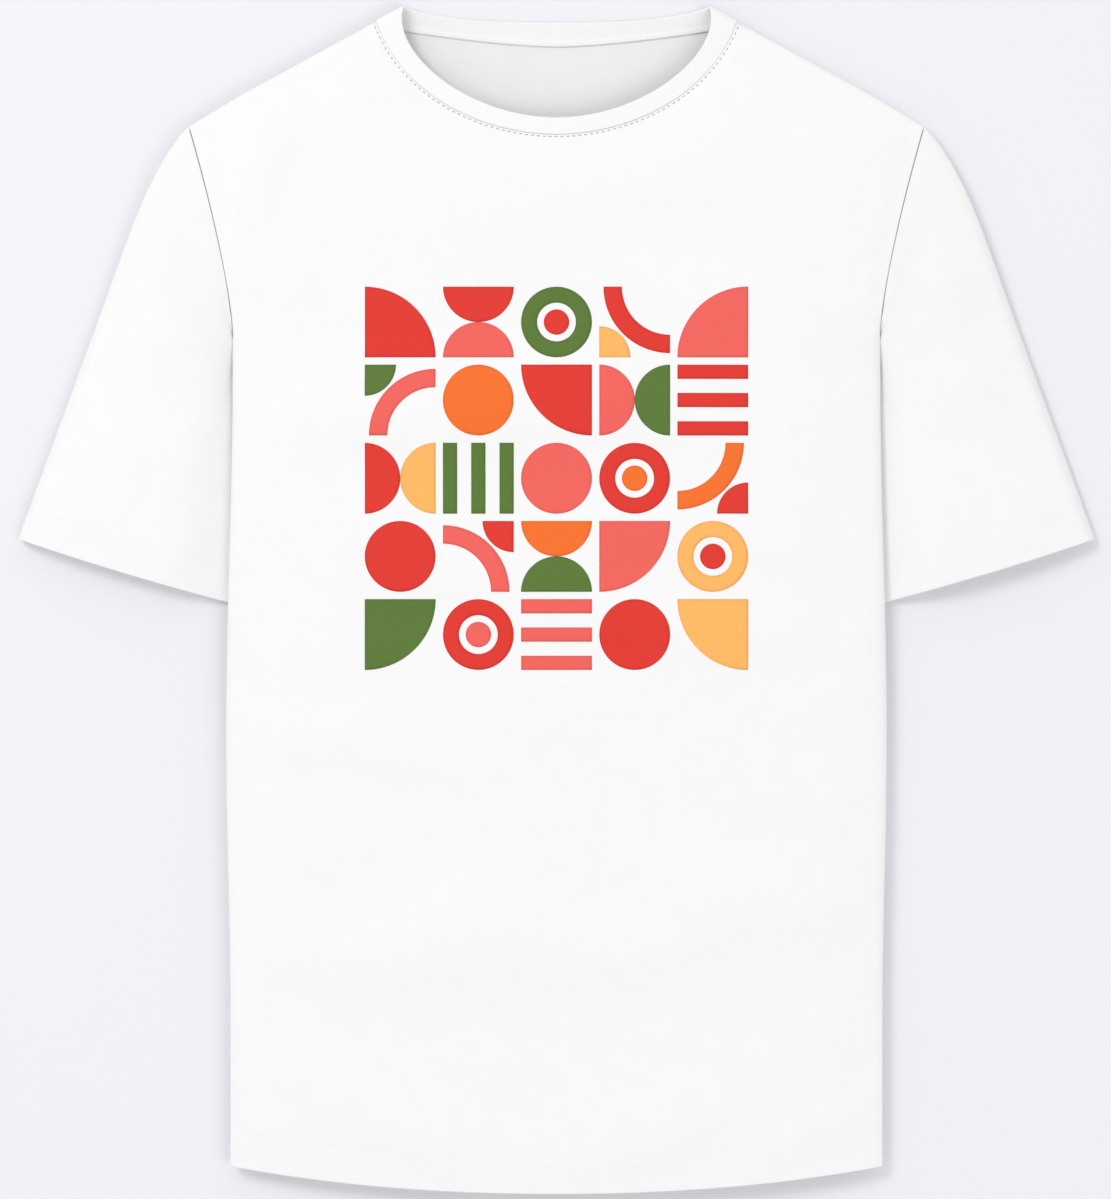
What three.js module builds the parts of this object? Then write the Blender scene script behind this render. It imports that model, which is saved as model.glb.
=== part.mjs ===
// A short-sleeved crew-neck T-shirt, lying on its back on a flat surface.
//
// Millimetres. +Z is up, +Y runs from the hem to the collar, and +X is the
// wearer's left. The origin is on the surface, at the middle of the shirt's
// length and width. The shirt is alike on both sides of its centre line.
//
// The cloth lies in two layers that meet at rounded folds: the upper layer is
// the front, the lower one the back. Every piece is a sheet that follows one
// of them. A place on the shirt is given as [across, down]: its distance from
// the centre line, and its distance below the collar's two highest points.
import * as THREE from "three";

// ---- driving dimensions -------------------------------------------------

const LENGTH = 723.5; // from the collar's highest points to the hem's middle
const JERSEY = 0.9; // one layer of jersey
const RIB = 2; // the neckband: rib cloth folded double
const SEAM_GAP = 0.35; // between the edges of two pieces that are sewn together

const HEM_DEPTH = 20; // cloth turned up inside the body's hem
const CUFF_DEPTH = 18; // cloth turned up inside a sleeve's hem
const TUCK = 24; // how far a cuff's inner corner lies beneath the body's side

const FOLD = 8.5; // height of the side, shoulder and collar folds
const CUFF_FOLD = 4.5; // height of a sleeve's outer fold at its cuff
const UNDERARM_FOLD = 2.05; // height of a sleeve's inner fold, under the body
const CHEST_CREST = 9; // how far the front stands over the folds, at the chest
const HEM_CREST = 5.5; // and at the hem
const NECK_CREST = 5.5; // and at the neckline
const CUFF_CREST = 8; // how far a cuff's upper layer stands over its outer fold

// Places on the outline, as [across, down].
const COLLAR_PEAK = [93.3, 0];
const NECK_POINT = [110.5, 9.1]; // where the shoulder seam meets the neckband
const SHOULDER_BEND = [193.4, 54.3];
const SHOULDER_POINT = [224.2, 72.9];
const SLEEVE_CAP_HANDLE = [243.3, 92]; // steers the curve over the shoulder
const SLEEVE_CAP_END = [261.7, 142.1]; // the sleeve's outer fold is straight from here
const ARMPIT = [197.4, 198.9];
const CUFF_OUTER = [328.7, 324.6];
const CUFF_HANDLE = [262, 347.5];
const CUFF_INNER = [200.9, 363.3]; // where the cuff passes under the body's side
const CUFF_CORNER_DOWN = 369.8; // where it ends, tucked beneath the body
const HEM_CORNER = [198.9, 707];

const ARMHOLE_CURVE = 1.37; // how the armhole's curve eases into the armpit
const HEM_CURVE = 2.15; // how the hem's curve eases into its middle
const WAIST_OUT = 4; // the sides' slight swell below the armpits
const WAIST_IN = 2.4; // and their slight return towards the hem

// Neckline curves: cubic Bezier points from the collar's fold to the middle.
const FRONT_RIB_EDGE = [COLLAR_PEAK, [102.5, 26.7], [55.5, 68.1], [0, 68.1]];
const FRONT_RIB_EASE = 0.72; // keeps the rib square to its seam
const FRONT_NECK_SEAM = [NECK_POINT, [93.3, 56.4], [43.7, 78.2], [0, 78.2]];
const BACK_RIB_EDGE_DOWN = 8.9; // at the middle of the back
const BACK_RIB_EDGE_CURVE = 3;
const BACK_NECK_SEAM_DOWN = 21.2;
const BACK_NECK_SEAM_CURVE = 1.65;

// Stations shared by the two edges of a seam, so that they run side by side.
const HALF_NECK_STEPS = 10; // along a neck seam, from the fold to the middle
const ARMHOLE_STEPS = 10; // along an armhole, from the shoulder to the armpit

// ---- small helpers ------------------------------------------------------

const lerp = (a, b, t) => a + (b - a) * t;
const mix = (p, q, t) => [lerp(p[0], q[0], t), lerp(p[1], q[1], t)];
const clamp01 = (t) => Math.min(1, Math.max(0, t));
const steps = (count) => Array.from({ length: count + 1 }, (_, i) => i / count);
const smoothstep = (from, to, t) => {
  const k = clamp01((t - from) / (to - from));
  return k * k * (3 - 2 * k);
};
const quarterRound = (t) => Math.sqrt(1 - (1 - clamp01(t)) ** 2);
const easeOut = (t) => 1 - (1 - clamp01(t)) ** 2;
const quadratic = (a, b, c, t) => mix(mix(a, b, t), mix(b, c, t), t);
const cubic = ([a, b, c, d], t) =>
  mix(quadratic(a, b, c, t), quadratic(b, c, d, t), t);

function distanceToSegment(p, a, b) {
  const along = [b[0] - a[0], b[1] - a[1]];
  const length2 = along[0] ** 2 + along[1] ** 2;
  const t = clamp01(
    ((p[0] - a[0]) * along[0] + (p[1] - a[1]) * along[1]) / length2,
  );
  return Math.hypot(p[0] - a[0] - along[0] * t, p[1] - a[1] - along[1] * t);
}

// A patch between four edges that share their corners. lower and upper run
// along q, and left and right along w.
function patch({ lower, upper, left, right }, q, w) {
  const across = mix(left(w), right(w), q);
  const along = mix(lower(q), upper(q), w);
  const corners = mix(
    mix(left(0), right(0), q),
    mix(left(1), right(1), q),
    w,
  );
  return [
    across[0] + along[0] - corners[0],
    across[1] + along[1] - corners[1],
  ];
}

// A place and a height, as a point of the model.
const point = ([across, down], height) =>
  new THREE.Vector3(across, LENGTH / 2 - down, height);

// ---- the outline, seen from above ---------------------------------------

// How far down the armhole a place is: 0 at the shoulder, 1 at the armpit.
const armholeShare = (down) =>
  clamp01((down - SHOULDER_POINT[1]) / (ARMPIT[1] - SHOULDER_POINT[1]));

// Half of the body's width at a distance down: armhole, then side.
const halfWidth = (down) =>
  lerp(
    ARMPIT[0],
    SHOULDER_POINT[0],
    (1 - armholeShare(down)) ** ARMHOLE_CURVE,
  ) +
  WAIST_OUT * smoothstep(230, 440, down) -
  WAIST_IN * smoothstep(450, 610, down);

const hemDown = (across) =>
  LENGTH -
  (LENGTH - HEM_CORNER[1]) * Math.abs(across / HEM_CORNER[0]) ** HEM_CURVE;

function shoulderDown(across) {
  const [from, to] =
    across < SHOULDER_BEND[0]
      ? [NECK_POINT, SHOULDER_BEND]
      : [SHOULDER_BEND, SHOULDER_POINT];
  return lerp(from[1], to[1], (across - from[0]) / (to[0] - from[0]));
}

// The neck seams. t runs from 0 at the collar's fold to 1 at the middle.
const frontNeckSeam = (t) => cubic(FRONT_NECK_SEAM, t);
const backNeckSeam = (t) => [
  NECK_POINT[0] * (1 - t),
  BACK_NECK_SEAM_DOWN -
    (BACK_NECK_SEAM_DOWN - NECK_POINT[1]) * (1 - t) ** BACK_NECK_SEAM_CURVE,
];
const frontRibEdge = (t) => cubic(FRONT_RIB_EDGE, t ** FRONT_RIB_EASE);
const backRibEdge = (t) => [
  COLLAR_PEAK[0] * (1 - t),
  BACK_RIB_EDGE_DOWN * (1 - (1 - t) ** BACK_RIB_EDGE_CURVE),
];

// How far a sleeve's inner fold lies beneath the body's side.
const tuckAt = (down) =>
  TUCK * clamp01((down - ARMPIT[1]) / (CUFF_INNER[1] - ARMPIT[1]));

// ---- how high the cloth lies --------------------------------------------

const insideShoulder = (p) =>
  Math.min(
    distanceToSegment(p, COLLAR_PEAK, NECK_POINT),
    distanceToSegment(p, NECK_POINT, SHOULDER_BEND),
    distanceToSegment(p, SHOULDER_BEND, SHOULDER_POINT),
  );

// How far a place is inside the side fold. Beside the armhole there is no
// fold, because the cloth goes on into the sleeve, so it counts as further in.
const ARMHOLE_REACH = 45;
const insideSide = ([across, down]) =>
  Math.max(0, halfWidth(down) - across) +
  ARMHOLE_REACH * Math.sqrt(1 - armholeShare(down));

// From 0 at a fold to 1 well inside it: a tight round, then a slow rise.
const ROUND_RADIUS = 6;
const ROUND_SHARE = 0.45;
const riseFrom = (inside, reach) =>
  ROUND_SHARE * quarterRound(inside / ROUND_RADIUS) +
  (1 - ROUND_SHARE) * easeOut(inside / reach);

// The height of the middle of the upper layer.
function frontHeight([x, down]) {
  const p = [Math.abs(x), down];
  const crest =
    lerp(NECK_CREST, CHEST_CREST, smoothstep(60, 230, down)) +
    (HEM_CREST - CHEST_CREST) * smoothstep(420, LENGTH, down);
  return (
    FOLD +
    crest * riseFrom(insideSide(p), 110) * riseFrom(insideShoulder(p), 110)
  );
}

// What the back lies on, where a sleeve is tucked beneath it.
const SLEEVE_STACK = 4.5;
function underlay([across, down]) {
  const inside = halfWidth(down) - across;
  const tuck = tuckAt(down);
  return (
    SLEEVE_STACK *
    (1 - smoothstep(tuck + 3, tuck + 24, inside)) *
    smoothstep(ARMPIT[1], ARMPIT[1] + 30, down) *
    (1 - smoothstep(CUFF_INNER[1] + 40, CUFF_INNER[1] + 110, down))
  );
}

// The height of the middle of the lower layer, for cloth of a thickness.
const BACK_SIDE_REACH = 22;
const BACK_SHOULDER_REACH = 12;
function backHeight([x, down], thickness = JERSEY) {
  const p = [Math.abs(x), down];
  return (
    FOLD -
    (FOLD - thickness / 2 - underlay(p)) *
      quarterRound(insideSide(p) / BACK_SIDE_REACH) *
      quarterRound(insideShoulder(p) / BACK_SHOULDER_REACH)
  );
}

// ---- sheets of cloth as closed solids -----------------------------------

// surface(u, v) is the middle of the cloth, with du x dv pointing out of the
// shirt. outer and inner are how far the cloth reaches to each side of it at
// u, v. The sheet has a row of points at each of vs and a column at each of
// us. A round sheet meets itself in u.
function sheet({ surface, us, vs, inner, outer, round = false }) {
  const STEP = 1e-4;
  const columns = round ? us.length - 1 : us.length;
  const positions = [];

  function normalAt(u, v) {
    const [uMin, uMax] = round ? [-Infinity, Infinity] : [us[0], us.at(-1)];
    const du = surface(Math.min(uMax, u + STEP), v);
    const dv = surface(u, Math.min(vs.at(-1), v + STEP));
    du.sub(surface(Math.max(uMin, u - STEP), v));
    dv.sub(surface(u, Math.max(vs[0], v - STEP)));
    return du.cross(dv).normalize();
  }
  for (const side of [1, -1]) {
    for (const v of vs) {
      for (const u of us.slice(0, columns)) {
        const reach = side > 0 ? outer(u, v) : -inner(u, v);
        const p = surface(u, v).addScaledVector(normalAt(u, v), reach);
        positions.push(p.x, p.y, p.z);
      }
    }
  }

  const layer = columns * vs.length;
  const out = (i, j) => j * columns + (i % columns);
  const into = (i, j) => layer + out(i, j);
  const faces = [];
  const quad = (a, b, c, d) => faces.push(a, b, c, a, c, d);
  const iEnd = us.length - 1;
  const jEnd = vs.length - 1;
  for (let j = 0; j < jEnd; j++) {
    for (let i = 0; i < iEnd; i++) {
      quad(out(i, j), out(i + 1, j), out(i + 1, j + 1), out(i, j + 1));
      quad(into(i, j), into(i, j + 1), into(i + 1, j + 1), into(i + 1, j));
    }
  }
  for (let i = 0; i < iEnd; i++) {
    quad(into(i, 0), into(i + 1, 0), out(i + 1, 0), out(i, 0));
    quad(out(i, jEnd), out(i + 1, jEnd), into(i + 1, jEnd), into(i, jEnd));
  }
  if (!round) {
    for (let j = 0; j < jEnd; j++) {
      quad(out(0, j), out(0, j + 1), into(0, j + 1), into(0, j));
      quad(into(iEnd, j), into(iEnd, j + 1), out(iEnd, j + 1), out(iEnd, j));
    }
  }
  const geometry = new THREE.BufferGeometry();
  geometry.setAttribute(
    "position",
    new THREE.Float32BufferAttribute(positions, 3),
  );
  geometry.setIndex(faces);
  geometry.computeVertexNormals();
  return geometry;
}

// ---- the body panels ----------------------------------------------------

// A panel's u runs across it from -1 to 1, and its v up from 0 at the hem to
// 1 at the shoulders and the neckline. |u| under NECK_U ends at the neckline.
const NECK_U = 0.5;
const ARMPIT_V =
  (HEM_CORNER[1] - ARMPIT[1]) / (HEM_CORNER[1] - SHOULDER_POINT[1]);

function panelColumns() {
  const SIDE_STEPS = 7;
  const neck = steps(HALF_NECK_STEPS).map((t) => NECK_U * t);
  const side = steps(SIDE_STEPS).map((t) => 1 - (1 - NECK_U) * (1 - t) ** 2.5);
  const half = [...neck, ...side.slice(1)];
  return [...half.slice(1).reverse().map((u) => -u), ...half];
}

const armholeStations = steps(ARMHOLE_STEPS).map(
  (t) => (1 - Math.cos(Math.PI * t)) / 2,
);

function panelRows() {
  const SIDE_STEPS = 9;
  const hem = HEM_DEPTH / LENGTH;
  const step = JERSEY / LENGTH;
  const side = steps(SIDE_STEPS).map((t) => lerp(2 * hem, ARMPIT_V, t));
  const armhole = armholeStations.map((s) => lerp(1, ARMPIT_V, s)).reverse();
  return [0, hem, hem + step, ...side, ...armhole.slice(1, -1), 1 - step, 1];
}

function bodyPanel({ neckSeam, height, facing }) {
  const middleTop = neckSeam(1);
  const edges = {
    lower: (q) => [HEM_CORNER[0] * q, hemDown(HEM_CORNER[0] * q)],
    upper(q) {
      if (q < NECK_U) {
        return neckSeam(1 - Math.sin(((q / NECK_U) * Math.PI) / 2));
      }
      const share = (q - NECK_U) / (1 - NECK_U);
      const across = lerp(NECK_POINT[0], SHOULDER_POINT[0], share);
      return [across, shoulderDown(across)];
    },
    left: (w) => mix([0, LENGTH], middleTop, w),
    right(w) {
      const down = lerp(HEM_CORNER[1], SHOULDER_POINT[1], w);
      return [halfWidth(down), down];
    },
  };
  // Each panel stops half a gap short of the folds where the two are sewn.
  const seam = (p) =>
    facing *
    (SEAM_GAP / 2) *
    (1 - smoothstep(0, 9, Math.min(insideSide(p), insideShoulder(p))));
  const hem = HEM_DEPTH / LENGTH;
  return sheet({
    surface(u, v) {
      const p = patch(edges, Math.abs(u), v);
      return point([facing * Math.sign(u) * p[0], p[1]], height(p) + seam(p));
    },
    us: panelColumns(),
    vs: panelRows(),
    outer: () => JERSEY / 2,
    inner: (u, v) => (v <= hem ? 1.5 * JERSEY : JERSEY / 2),
  });
}

// ---- the sleeves --------------------------------------------------------

// A sleeve's u runs round it, from the outer fold over the top to the inner
// fold and back underneath, and its v from the armhole to the cuff. q is the
// share of the way across, from the outer fold to the inner one.
const CAP_SHARE = 0.3; // of the outer fold's length, where it curves
const LEDGE = JERSEY + 2 * SEAM_GAP; // beside the body's edge at the armpit
const LEDGE_SHARE = 0.1; // of the inner fold's length, before it is tucked
const STACK_RISE = (SLEEVE_STACK - JERSEY) / 2 - 0.2; // tucked layers, halved
const CUFF_REACH = 60; // in from its outer fold, a cuff has risen fully
const BODY_REACH = 46; // and in from the body's edge
const HANG_ROWS = [0, 0.03, 0.07, 0.13, 0.2, 0.3, 0.42, 0.55, 0.68, 0.79];

// The inner fold leaves the armpit beside the body, then passes beneath it.
function innerFold(v) {
  const down = lerp(ARMPIT[1], CUFF_CORNER_DOWN, v);
  const ledge = LEDGE * (1 - smoothstep(LEDGE_SHARE, 2 * LEDGE_SHARE, v));
  const tuck = tuckAt(down) * smoothstep(LEDGE_SHARE, 3 * LEDGE_SHARE, v);
  return [halfWidth(down) + ledge - tuck, down];
}

function armholeEdge(q) {
  const down = lerp(SHOULDER_POINT[1], ARMPIT[1], q);
  const gap = lerp(2 * SEAM_GAP, LEDGE, smoothstep(0.6, 1, q));
  return [halfWidth(down) + gap, down];
}

const sleeveEdges = {
  lower: armholeEdge,
  upper: (q) => quadratic(CUFF_OUTER, CUFF_HANDLE, innerFold(1), q),
  left: (v) =>
    v < CAP_SHARE
      ? quadratic(
          armholeEdge(0),
          SLEEVE_CAP_HANDLE,
          SLEEVE_CAP_END,
          v / CAP_SHARE,
        )
      : mix(SLEEVE_CAP_END, CUFF_OUTER, (v - CAP_SHARE) / (1 - CAP_SHARE)),
  right: innerFold,
};

// How far a place is from the outer fold and from the inner one.
function fromFolds(q, v) {
  const [outer, inner] = [sleeveEdges.left(v), sleeveEdges.right(v)];
  const width = Math.hypot(outer[0] - inner[0], outer[1] - inner[1]);
  return [q * width, (1 - q) * width];
}

const outerFoldHeight = (v) => lerp(FOLD, CUFF_FOLD, smoothstep(0, 0.6, v));
const innerFoldHeight = (v) =>
  lerp(FOLD, UNDERARM_FOLD, smoothstep(0, 0.12, v));

// The height of the middle of a sleeve's upper layer: as high as the front at
// the armhole, then flat beneath the body's edge and arched beyond it.
function sleeveTop(q, v) {
  const [fromOuter, fromInner] = fromFolds(q, v);
  const tuck = tuckAt(lerp(ARMPIT[1], CUFF_CORNER_DOWN, v));
  const clearOfBody = smoothstep(tuck - 4, tuck - 4 + BODY_REACH, fromInner);
  const arched =
    lerp(UNDERARM_FOLD + STACK_RISE, CUFF_FOLD, clearOfBody) +
    CUFF_CREST * riseFrom(fromOuter, CUFF_REACH) * clearOfBody;
  const folds = lerp(
    outerFoldHeight(v),
    innerFoldHeight(v),
    smoothstep(0.3, 1, q),
  );
  const laid = lerp(
    folds,
    arched,
    quarterRound(fromInner / 2) * quarterRound(fromOuter / ROUND_RADIUS),
  );
  // The armhole's height is kept for longer near the shoulder.
  const easing = 0.06 + 0.5 * smoothstep(1, 0.7, q);
  return lerp(frontHeight(armholeEdge(q)), laid, smoothstep(0, easing, v));
}

// The height of the middle of a sleeve's lower layer.
function sleeveUnderside(q, v) {
  const [fromOuter, fromInner] = fromFolds(q, v);
  const laid =
    q < 0.5
      ? lerp(outerFoldHeight(v), JERSEY / 2, quarterRound(fromOuter / 14))
      : lerp(innerFoldHeight(v), JERSEY / 2, quarterRound(fromInner / 2));
  return lerp(backHeight(armholeEdge(q)), laid, smoothstep(0, 0.2, v));
}

function sleeve(side) {
  const cuff = 1 - CUFF_DEPTH / (CUFF_CORNER_DOWN - ARMPIT[1]);
  const step = JERSEY / (CUFF_CORNER_DOWN - ARMPIT[1]);
  return sheet({
    surface(u, v) {
      const angle = 2 * Math.PI * u * side;
      const q = (1 - Math.cos(angle)) / 2;
      const p = patch(sleeveEdges, q, v);
      const height = Math.sin(angle) >= 0 ? sleeveTop : sleeveUnderside;
      return point([side * p[0], p[1]], height(q, v));
    },
    us: steps(2 * ARMHOLE_STEPS),
    vs: [...HANG_ROWS, cuff - step, cuff, 1],
    outer: () => JERSEY / 2,
    inner: (u, v) => (v >= cuff ? 1.5 * JERSEY : JERSEY / 2),
    round: true,
  });
}

// ---- the neckband -------------------------------------------------------

// Its u runs round the neck, over the front and back under the nape, and its
// v across the rib, from its seam to its free edge.
function neckband() {
  const WIDTH_STEPS = 3;
  const BAND_WIDTH = 11;
  const surface = (u, v) => {
    const angle = 2 * Math.PI * u; // 0 and a half turn are the two folds
    const t = 1 - Math.abs(Math.cos(angle));
    const side = Math.cos(angle) >= 0 ? -1 : 1;
    const isFront = Math.sin(angle) >= 0;
    const p = isFront
      ? mix(frontNeckSeam(t), frontRibEdge(t), v)
      : mix(backNeckSeam(t), backRibEdge(t), v);
    const height = isFront ? frontHeight(p) : backHeight(p, RIB);
    return point([side * p[0], p[1]], height);
  };
  return sheet({
    surface,
    us: steps(4 * HALF_NECK_STEPS),
    vs: steps(WIDTH_STEPS).map((v) => lerp(SEAM_GAP / BAND_WIDTH, 1, v)),
    outer: () => RIB / 2,
    inner: () => RIB / 2,
    round: true,
  });
}

// ---- the shirt ----------------------------------------------------------

const JERSEY_WHITE = 0xfcfcfc;
const RIB_WHITE = 0xf9f9f9;

function piece(name, geometry, color) {
  const material = new THREE.MeshStandardMaterial({
    color,
    roughness: 0.95,
    metalness: 0,
  });
  const mesh = new THREE.Mesh(geometry, material);
  mesh.name = name;
  return mesh;
}

const front = { neckSeam: frontNeckSeam, height: frontHeight, facing: 1 };
const back = { neckSeam: backNeckSeam, height: backHeight, facing: -1 };

const shirt = new THREE.Group();
shirt.add(
  piece("front_panel", bodyPanel(front), JERSEY_WHITE),
  piece("back_panel", bodyPanel(back), JERSEY_WHITE),
  piece("left_sleeve", sleeve(1), JERSEY_WHITE),
  piece("right_sleeve", sleeve(-1), JERSEY_WHITE),
  piece("neckband", neckband(), RIB_WHITE),
);

export default shirt;
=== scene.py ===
"""A white short-sleeved crew-neck T-shirt, laid flat on its back.

Lengths are in millimetres until a mesh is made, which is in metres. A place on
the shirt is given by across, its distance from the centre line, and down, its
distance below the collar's two highest points. u and v run over a sheet of
cloth: u across or round it, v along it.
"""
import math

import bpy
import numpy as np
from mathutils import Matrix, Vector
from mathutils.bvhtree import BVHTree


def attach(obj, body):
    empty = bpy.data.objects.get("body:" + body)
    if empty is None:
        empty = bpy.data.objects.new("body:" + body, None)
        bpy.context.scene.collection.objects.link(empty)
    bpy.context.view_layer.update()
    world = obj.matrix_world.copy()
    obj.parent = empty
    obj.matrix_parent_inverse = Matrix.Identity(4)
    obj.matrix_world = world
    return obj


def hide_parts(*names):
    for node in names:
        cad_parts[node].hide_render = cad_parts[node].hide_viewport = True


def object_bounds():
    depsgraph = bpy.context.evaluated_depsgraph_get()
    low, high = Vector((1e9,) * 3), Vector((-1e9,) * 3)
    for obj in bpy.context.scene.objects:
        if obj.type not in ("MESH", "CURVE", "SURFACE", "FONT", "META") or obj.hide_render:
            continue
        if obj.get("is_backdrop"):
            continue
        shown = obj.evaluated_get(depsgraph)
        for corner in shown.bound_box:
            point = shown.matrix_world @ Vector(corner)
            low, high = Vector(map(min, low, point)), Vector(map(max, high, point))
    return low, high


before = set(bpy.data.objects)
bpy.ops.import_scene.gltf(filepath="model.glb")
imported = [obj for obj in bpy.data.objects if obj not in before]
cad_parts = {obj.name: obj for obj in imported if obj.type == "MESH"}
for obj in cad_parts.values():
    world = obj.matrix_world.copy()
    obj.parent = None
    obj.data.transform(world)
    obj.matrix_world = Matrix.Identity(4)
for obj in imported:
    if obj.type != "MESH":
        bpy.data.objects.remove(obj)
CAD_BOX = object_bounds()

MM = 0.001

# ---- the cut of the shirt ---------------------------------------------------

LENGTH = 723.5  # from the collar's highest points to the hem's middle
JERSEY = 0.7  # one layer of jersey
HEM_DEPTH = 20.0
CUFF_DEPTH = 18.0
TUCK = 24.0  # how far a cuff's inner corner lies beneath the body's side

FOLD = 8.5  # height of the side, shoulder and collar folds
CUFF_FOLD = 4.5
UNDERARM_FOLD = 2.05
CHEST_CREST = 9.0
HEM_CREST = 5.5
NECK_CREST = 5.5
CUFF_CREST = 8.0
SLEEVE_STACK = 4.5  # what the back lies on, where a sleeve is tucked under it

COLLAR_PEAK = np.array([93.3, 0.0])
NECK_POINT = np.array([110.5, 9.1])
SHOULDER_BEND = np.array([193.4, 54.3])
SHOULDER_POINT = np.array([224.2, 72.9])
SLEEVE_CAP_HANDLE = np.array([243.3, 92.0])
SLEEVE_CAP_END = np.array([261.7, 142.1])
ARMPIT = np.array([197.4, 198.9])
CUFF_OUTER = np.array([328.7, 324.6])
CUFF_HANDLE = np.array([262.0, 347.5])
CUFF_INNER = np.array([200.9, 363.3])
CUFF_CORNER_DOWN = 369.8  # where the cuff ends, tucked beneath the body
HEM_CORNER = np.array([198.9, 707.0])
HEM_MIDDLE = np.array([0.0, LENGTH])

ARMHOLE_CURVE = 1.37
HEM_CURVE = 2.15
WAIST_OUT = 4.0
WAIST_OUT_DOWN = (230, 440)  # where the sides go out, and then in again
WAIST_IN = 2.4
WAIST_IN_DOWN = (450, 610)

FRONT_RIB_EDGE = [COLLAR_PEAK, [102.5, 26.7], [55.5, 68.1], [0, 68.1]]
FRONT_RIB_EASE = 0.72  # keeps the rib square to its seam
FRONT_NECK_SEAM = [NECK_POINT, [93.3, 56.4], [43.7, 78.2], [0, 78.2]]
BACK_RIB_EDGE_DOWN = 8.9
BACK_RIB_EDGE_CURVE = 3.0
BACK_NECK_SEAM_DOWN = 21.2
BACK_NECK_SEAM_CURVE = 1.65

NECK_U = 0.5  # |u| under this ends at the neckline, over it at the shoulder
ARMPIT_V = (HEM_CORNER[1] - ARMPIT[1]) / (HEM_CORNER[1] - SHOULDER_POINT[1])

# ---- small helpers ----------------------------------------------------------


def lerp(a, b, t):
    return a + (b - a) * t


def mix(p, q, t):
    """The place that is the share t of the way from p to q, for arrays too."""
    return np.asarray(p) + (np.asarray(q) - np.asarray(p)) * np.asarray(t)[..., None]


def smoothstep(start, end, t):
    k = np.clip((t - start) / (end - start), 0, 1)
    return k * k * (3 - 2 * k)


def quarter_round(t):
    return np.sqrt(1 - (1 - np.clip(t, 0, 1)) ** 2)


def ease_out(t):
    return 1 - (1 - np.clip(t, 0, 1)) ** 2


def bump_at(centre, width, t):
    return np.exp(-(((t - centre) / width) ** 2))


def quadratic(a, b, c, t):
    return mix(mix(a, b, t), mix(b, c, t), t)


def cubic(points, t):
    a, b, c, d = points
    return mix(quadratic(a, b, c, t), quadratic(b, c, d, t), t)


def unit(vectors):
    return vectors / np.maximum(np.linalg.norm(vectors, axis=-1, keepdims=True), 1e-12)


def distance_to_segment(across, down, a, b):
    run = b - a
    t = ((across - a[0]) * run[0] + (down - a[1]) * run[1]) / (run @ run)
    t = np.clip(t, 0, 1)
    return np.hypot(across - a[0] - run[0] * t, down - a[1] - run[1] * t)


def patch(lower, upper, left, right, q, w):
    """A patch between four edges: lower and upper along q, left and right along w."""
    zero, one = np.zeros(()), np.ones(())
    across = mix(left(w), right(w), q)
    along = mix(lower(q), upper(q), w)
    corners = mix(mix(left(zero), right(zero), q), mix(left(one), right(one), q), w)
    return across + along - corners


def stack(across, down, height):
    """Places and heights as points of the model, in millimetres."""
    return np.stack([across, LENGTH / 2 - down, height], axis=-1)


def corners_of(array):
    """The four corners of each square of a grid, going round it."""
    return np.stack([array[:-1, :-1], array[:-1, 1:], array[1:, 1:], array[1:, :-1]], 2)


def run_along(line):
    """How far along a line each of its points is."""
    step = np.linalg.norm(np.diff(line, axis=0), axis=1)
    return np.concatenate([[0], np.cumsum(step)])


def placed(name, data):
    obj = bpy.data.objects.new(name, data)
    bpy.context.scene.collection.objects.link(obj)
    return obj


def mesh_object(name, points, faces):
    """An object of points in millimetres and faces as lists of their numbers."""
    mesh = bpy.data.meshes.new(name)
    mesh.from_pydata((points * MM).tolist(), [], faces)
    mesh.polygons.foreach_set("use_smooth", np.ones(len(faces), bool))
    return placed(name, mesh)


# ---- the outline, seen from above -------------------------------------------


def armhole_share(down):
    return np.clip((down - SHOULDER_POINT[1]) / (ARMPIT[1] - SHOULDER_POINT[1]), 0, 1)


def half_width(down):
    armhole = lerp(
        ARMPIT[0], SHOULDER_POINT[0], (1 - armhole_share(down)) ** ARMHOLE_CURVE
    )
    swell = WAIST_OUT * smoothstep(*WAIST_OUT_DOWN, down)
    return armhole + swell - WAIST_IN * smoothstep(*WAIST_IN_DOWN, down)


def hem_place(q):
    rise = (LENGTH - HEM_CORNER[1]) * np.abs(q) ** HEM_CURVE
    return np.stack([HEM_CORNER[0] * q, LENGTH - rise], axis=-1)


def front_neck_seam(t):
    return cubic(FRONT_NECK_SEAM, t)


def back_neck_seam(t):
    drop = (BACK_NECK_SEAM_DOWN - NECK_POINT[1]) * (1 - t) ** BACK_NECK_SEAM_CURVE
    return np.stack([NECK_POINT[0] * (1 - t), BACK_NECK_SEAM_DOWN - drop], axis=-1)


def front_rib_edge(t):
    return cubic(FRONT_RIB_EDGE, t**FRONT_RIB_EASE)


def back_rib_edge(t):
    down = BACK_RIB_EDGE_DOWN * (1 - (1 - t) ** BACK_RIB_EDGE_CURVE)
    return np.stack([COLLAR_PEAK[0] * (1 - t), down], axis=-1)


def tuck_at(down):
    return TUCK * np.clip((down - ARMPIT[1]) / (CUFF_INNER[1] - ARMPIT[1]), 0, 1)


def panel_top(neck_seam):
    """The upper edge of half a panel: the neck seam, then the shoulder."""

    def place(q):
        neck = neck_seam(1 - np.sin(np.clip(q / NECK_U, 0, 1) * math.pi / 2))
        share = np.clip((q - NECK_U) / (1 - NECK_U), 0, 1)
        across = lerp(NECK_POINT[0], SHOULDER_POINT[0], share)
        corners = np.array([NECK_POINT, SHOULDER_BEND, SHOULDER_POINT]).T
        shoulder = np.stack([across, np.interp(across, *corners)], axis=-1)
        return np.where((q < NECK_U)[..., None], neck, shoulder)

    return place


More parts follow.
